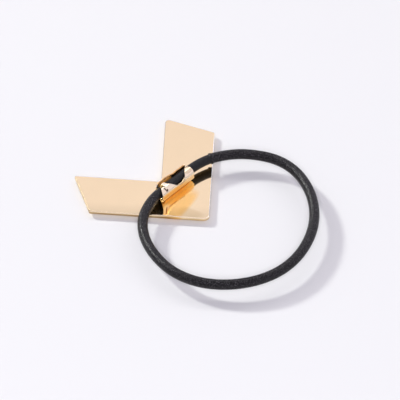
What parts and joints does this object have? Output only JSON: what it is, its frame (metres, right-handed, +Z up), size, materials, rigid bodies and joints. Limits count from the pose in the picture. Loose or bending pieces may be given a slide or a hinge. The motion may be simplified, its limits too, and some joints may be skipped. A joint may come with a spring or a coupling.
{
  "type": "hair tie with metal plate",
  "caption": "Hair tie: a loop of round covered elastic held in a folded clamp on the back of an L-shaped polished metal plate, lying on the plate's front.",
  "frame": {"origin": "on the surface the hair tie lies on, under the middle of the metal plate's box seen from above", "axes": "+Z up, from the plate's front face to its back; the plate's outer corner is at +X -Y, and its arms run from there along -X and +Y"},
  "size_m": [0.0752, 0.0721, 0.0068],
  "materials": {
    "polished_metal": "mirror-polished pale gold plating",
    "covered_elastic": "fine black knitted cover with a soft sheen"
  },
  "bodies": {
    "root": {"plate_with_clamp": "polished_metal", "elastic": "covered_elastic"}
  },
  "joints": []
}
